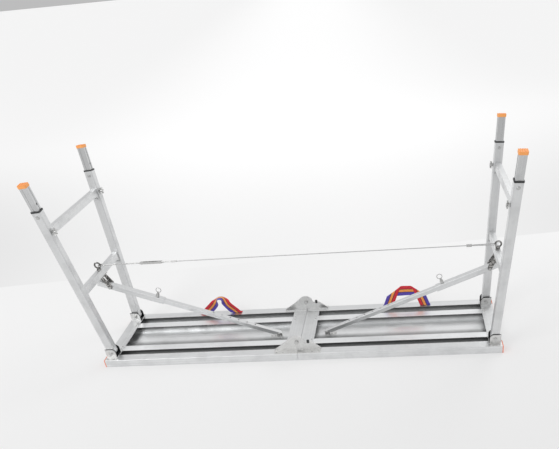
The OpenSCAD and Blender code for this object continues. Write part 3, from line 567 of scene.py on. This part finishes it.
def right_rows():
    up_leg, down_leg = (cos(turn), sin(turn)), (cos(turn), -sin(turn))
    first = hypot(reach - BAR_HALF, BAR_Z)
    second = first + 2 * BAR_HALF
    total = second + first
    def stretch(l, s, part):
        if part == 0:
            x, z = -reach + up_leg[0] * l + up_leg[1] * s, up_leg[1] * l - up_leg[0] * s
        elif part == 1:
            x, z = -BAR_HALF + (l - first), BAR_Z + s
        else:
            x = BAR_HALF + down_leg[0] * (l - second) + down_leg[1] * s
            z = BAR_Z + down_leg[1] * (l - second) - down_leg[0] * s
        return x, z
    def edge(s, which):
        """The strap's length at which each stretch starts or ends, for a place s across it."""
        return {0: up_leg[0] * s / up_leg[1], 1: first + s * fold_slope,
                2: second - s * fold_slope, 3: total - up_leg[0] * s / up_leg[1]}[which]
    layer = {0: -0.0017, 1: 0.0017, 2: -0.0017}
    rows = []
    for pad in (2, 1):
        rows.append([(*stretch(edge(s, 0), s, 0), 0.0075 * pad, s, edge(s, 0) - 0.0075 * pad) for s in spots])
    for part, steps in ((0, 20), (1, 16), (2, 20)):
        for k in range(steps + 1):
            f = k / steps
            row = []
            for s in spots:
                l = edge(s, part) * (1 - f) + edge(s, part + 1) * f
                x, z = stretch(l, s, part)
                bend = 1 - ramp01(min(f if part else 1, 1 - f if part < 2 else 1) / 0.12)
                y = layer[part] * (1 - bend)
                row.append((x, z, y, s, l))
            if k or part == 0:
                rows.append(row)
    for pad in (1, 2):
        rows.append([(*stretch(edge(s, 3), s, 2), 0.0075 * pad, s, edge(s, 3) + 0.0075 * pad) for s in spots])
    placed = []
    for i, row in enumerate(rows):
        out = []
        for x, z, y, s, l in row:
            pad = i < 2 or i >= len(rows) - 2
            lean = 0 if pad else max(0.0, z) * tan(BACK_LEAN)
            ripple = 0 if pad else 0.0011 * sin(60 * l + 40 * s)
            out.append((Vector((mid_x + x, wall_y + y + lean + ripple, floor_z + max(0.0015, z + 0.0015))),
                        s / STRAP_W + 0.5, l))
        placed.append(out)
    return placed, total


spots = [STRAP_W * 0.92 * (j / (COLUMNS - 1) - 0.5) for j in range(COLUMNS)]
rows, strap_length = right_rows()
right_strap, cloth = strap_piece("right_strap", "right_deck", rows, "right_handle")
strap_length + 0.034
min(cloth, STRAP_W * (strap_length + 0.034))
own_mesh(right_strap)

# %% [markdown]
# ## The steel rope between the leg frames
# The rope that holds the frames apart is laid from six strands. Its outline isn't round: six grooves wind along
# it, one turn in every 30 mm. A ring with six shallow lobes, turned a little further at each step, gives that
# outline in one clean skin. The rope starts in the turnbuckle and ends in a clamp. A short loop comes out of
# the clamp, goes round the right eye and comes back.
#
# The rope is unhooked before the left frame folds. It and its turnbuckle then drop flat on the deck; here both
# simply ride on the left deck.

# %% Laid wire
def laid_wire(name):
    """Galvanised wire: bright crowns, dull grooves and a thin grey film."""
    p = Paint(name)
    at = p.place()
    film = p.noise(at * 90.0, 1.0, 3.0, 0.6)
    grain = p.noise(at * 1500.0, 1.0, 2.0)
    value = 0.56 + (film - 0.5) * 0.2 + (grain - 0.5) * 0.16
    return p.finish(Base_Color=p.grey(value), Metallic=1.0, Roughness=0.42 + (film - 0.5) * 0.25,
                    Normal=p.bump(grain, 0.3, 0.0002))


wire = laid_wire("laid_wire")
ROPE_D, LOOP_R, CLAMP_L, CLAMP_TO_EYE = 0.004, 0.007, 0.022, 0.120
low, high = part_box("wire_rope")
rope_z, rope_from = (low.z + high.z) / 2, low.x
loop_x = high.x - LOOP_R - ROPE_D / 2
clamp_x = loop_x - CLAMP_TO_EYE
rope_to = clamp_x + 0.006


def straight(a, b, step):
    count = max(2, ceil((b - a).length / step))
    return [a.lerp(b, k / count) for k in range(count + 1)]


start = clamp_x + CLAMP_L - 0.006
apart = ROPE_D / 2 + 0.0003
run = hypot(loop_x - start, apart)
lean = atan2(LOOP_R, (run * run - LOOP_R * LOOP_R) ** 0.5) - atan2(apart, loop_x - start)
touch = pi / 2 + lean
bow = [Vector((loop_x + LOOP_R * cos(a), LOOP_R * sin(a), rope_z))
       for a in (touch - 2 * touch * k / 40 for k in range(41))]
rope_path = straight(Vector((rope_from, 0, rope_z)), Vector((rope_to, 0, rope_z)), 0.0025)
rope_path += straight(rope_path[-1], Vector((start, apart, rope_z)), 0.0025)[1:]
rope_path += straight(rope_path[-1], bow[0], 0.0025)[1:-1] + bow
rope_path += straight(bow[-1], Vector((start, -apart, rope_z)), 0.0025)[1:]
rope_length = sum((b - a).length for a, b in zip(rope_path, rope_path[1:]))
skin = bmesh.new()
add_skin(skin, tube_rows(rope_path, ROPE_D / 2, sides=18, lobes=6, pitch=0.030, depth=0.20),
         closed=True, ends=True)
rope = new_piece("rope", "left_deck", wire, skin)
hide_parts("wire_rope")
skin = bmesh.new()
skin.from_mesh(nodes["rope_fittings"].data)
skin.transform(nodes["rope_fittings"].matrix_world)
turnbuckle = new_piece("slack_fittings", "left_deck", zinc_fitting, skin)
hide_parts("rope_fittings")
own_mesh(turnbuckle)
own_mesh(rope)
print("rope", round(rope_length, 3), "m")

# %% [markdown]
# ## Weld beads
# The crossbars are welded between the leg tubes. Hand-laid aluminium weld has a ridge of overlapping ripples,
# like a row of coins that has fallen over. Each bead is a tube whose radius swells and shrinks along its path,
# and the path goes once round the crossbar's end, in the plane where it meets the leg.

# %% Leg frame geometry
LEG_X, LEG_Z, LEG_Y = 0.866, 0.060, 0.157
TUBE_B = 0.036
MID_D, UP_D, BAR_H, BAR_T = 0.312, 0.614, 0.030, 0.024


def leg_frame(side):
    """Carries a leg frame's own directions, where Z runs up the frame, to the whole object's."""
    return (Matrix.Diagonal((side, 1, 1, 1)) @ Matrix.Translation((LEG_X, 0, LEG_Z))
            @ Matrix.Rotation(LEG_LEAN, 4, "Y"))


def inner_face(d):
    """How far the leg's inner face is from the middle, at a height d along the frame."""
    return LEG_Y + d * tan(LEG_SPREAD) - TUBE_B / 2 / cos(LEG_SPREAD) - 0.0003


bead_metal = extruded("weld_bead", (0, 0, 1), tone=0.66, shine=0.42)
for side, name in ((-1, "left"), (1, "right")):
    skin = bmesh.new()
    place = leg_frame(side)
    for d in (MID_D, UP_D):
        for edge in (-1, 1):
            path, h, t = [], BAR_H / 2, BAR_T / 2
            corners = [(t, -h), (t, h), (-t, h), (-t, -h), (t, -h)]
            for (x0, z0), (x1, z1) in zip(corners, corners[1:]):
                for k in range(12):
                    x, z = x0 + (x1 - x0) * k / 12, z0 + (z1 - z0) * k / 12
                    path.append(place @ Vector((x, edge * (inner_face(d + z) - 0.0012), d + z)))
            rings = tube_rows(path + path[:1], 0.0019, sides=8)
            for k, ring in enumerate(rings):
                centre = sum(ring, Vector()) / len(ring)
                swell = 1 + 0.22 * sin(k * 2.1) + 0.1 * sin(k * 0.7 + d * 40)
                rings[k] = [centre + (q - centre) * swell for q in ring]
            add_skin(skin, rings, closed=True)
    new_piece(name + "_weld_beads", name + "_leg", bead_metal, skin)
print("weld beads on both leg frames")

# %% [markdown]
# ## Floor and light
# The object stands in a pale studio. The floor is one wide flat sheet that glows, and its tone is painted light:
# lighter near the object than towards the camera, with a soft band of grey painted behind it where the paper
# would turn up to the wall, brighter beyond that and darker towards the sides. The room itself lights the
# metal: a mirror shows whatever is around it, so bare aluminium only looks bright in a bright room. One large
# soft lamp from the front left gives the profiles a lighter and a darker side.

# %% Floor
def paper():
    p = Paint("studio_paper_painted_light")
    at = p.place()
    behind = at.dot((0.1051, -0.9945, 0.0)) * -1.0
    across = at.dot((0.9945, 0.1051, 0.0))
    # Painted light: behind a line past the object, the floor's tone steps into a painted backdrop that grows
    # brighter with distance and darker towards the sides. In front of the line it darkens towards the camera.
    wall = (behind - 0.838).ramp(0.0, 0.012)
    rise = (behind - 0.838).ramp(0.0, 3.2)
    side = abs(across + 0.25).ramp(0.3, 3.0)
    far = 0.97 + rise * 0.22 - side * (1.0 - rise * 0.4) * 0.19
    near = 0.955 - (0.0 - behind).ramp(-0.8, 1.2) * 0.085
    tone = near * (1 - wall) + far * wall
    # The floor glows: its emission is painted light in the same tone, added on top of its lit colour at half that
    # tone.
    p.finish(Base_Color=p.grey(tone * 0.5), Roughness=0.9, Emission_Color=p.grey(tone), Emission_Strength=0.42)
    return p.material


skin = bmesh.new()
add_skin(skin, [[Vector((x, y, 0)) for x in (-30, 30)] for y in (-30, 30)])
mesh = bpy.data.meshes.new("floor")
skin.to_mesh(mesh)
floor = bpy.data.objects.new("floor", mesh)
bpy.context.scene.collection.objects.link(floor)
floor.location.z = min(cad_box[0][2], 0.0) - 0.0002
mesh.materials.append(paper())

# %% Light
world = bpy.data.worlds.new("studio")
bpy.context.scene.world = world
world.use_nodes = True
sky = world.node_tree
ground = sky.nodes["Background"]
ground.inputs["Strength"].default_value = 0.82
direction = sky.nodes.new("ShaderNodeTexCoord")
split = sky.nodes.new("ShaderNodeSeparateXYZ")
bands = sky.nodes.new("ShaderNodeValToRGB")
sky.links.new(direction.outputs["Generated"], split.inputs[0])
sky.links.new(split.outputs["Z"], bands.inputs[0])
sky.links.new(bands.outputs[0], ground.inputs["Color"])
for element, (at, value) in zip(
        [bands.color_ramp.elements[0], bands.color_ramp.elements[1], bands.color_ramp.elements.new(0.35)],
        ((0.0, 0.62), (1.0, 1.0), (0.35, 0.98))):
    element.position, element.color = at, (value, value, value * 1.005, 1)


def lamp(name, where, toward, size, power):
    light = bpy.data.objects.new(name, bpy.data.lights.new(name, "AREA"))
    bpy.context.scene.collection.objects.link(light)
    light.data.shape, light.data.size, light.data.energy = "DISK", size, power
    light.location = where
    light.rotation_euler = (Vector(toward) - Vector(where)).to_track_quat("-Z", "Y").to_euler()
    return light


lamp("soft_front", (-2.6, -2.8, 3.4), (0, 0, 0.3), 2.6, 60)
lamp("soft_back", (2.4, 2.2, 3.0), (0, 0, 0.3), 2.2, 26)
bpy.context.scene.view_settings.view_transform = "Standard"

# %% Sizes and finish
print("cad", [[round(x, 4) for x in c] for c in cad_box])
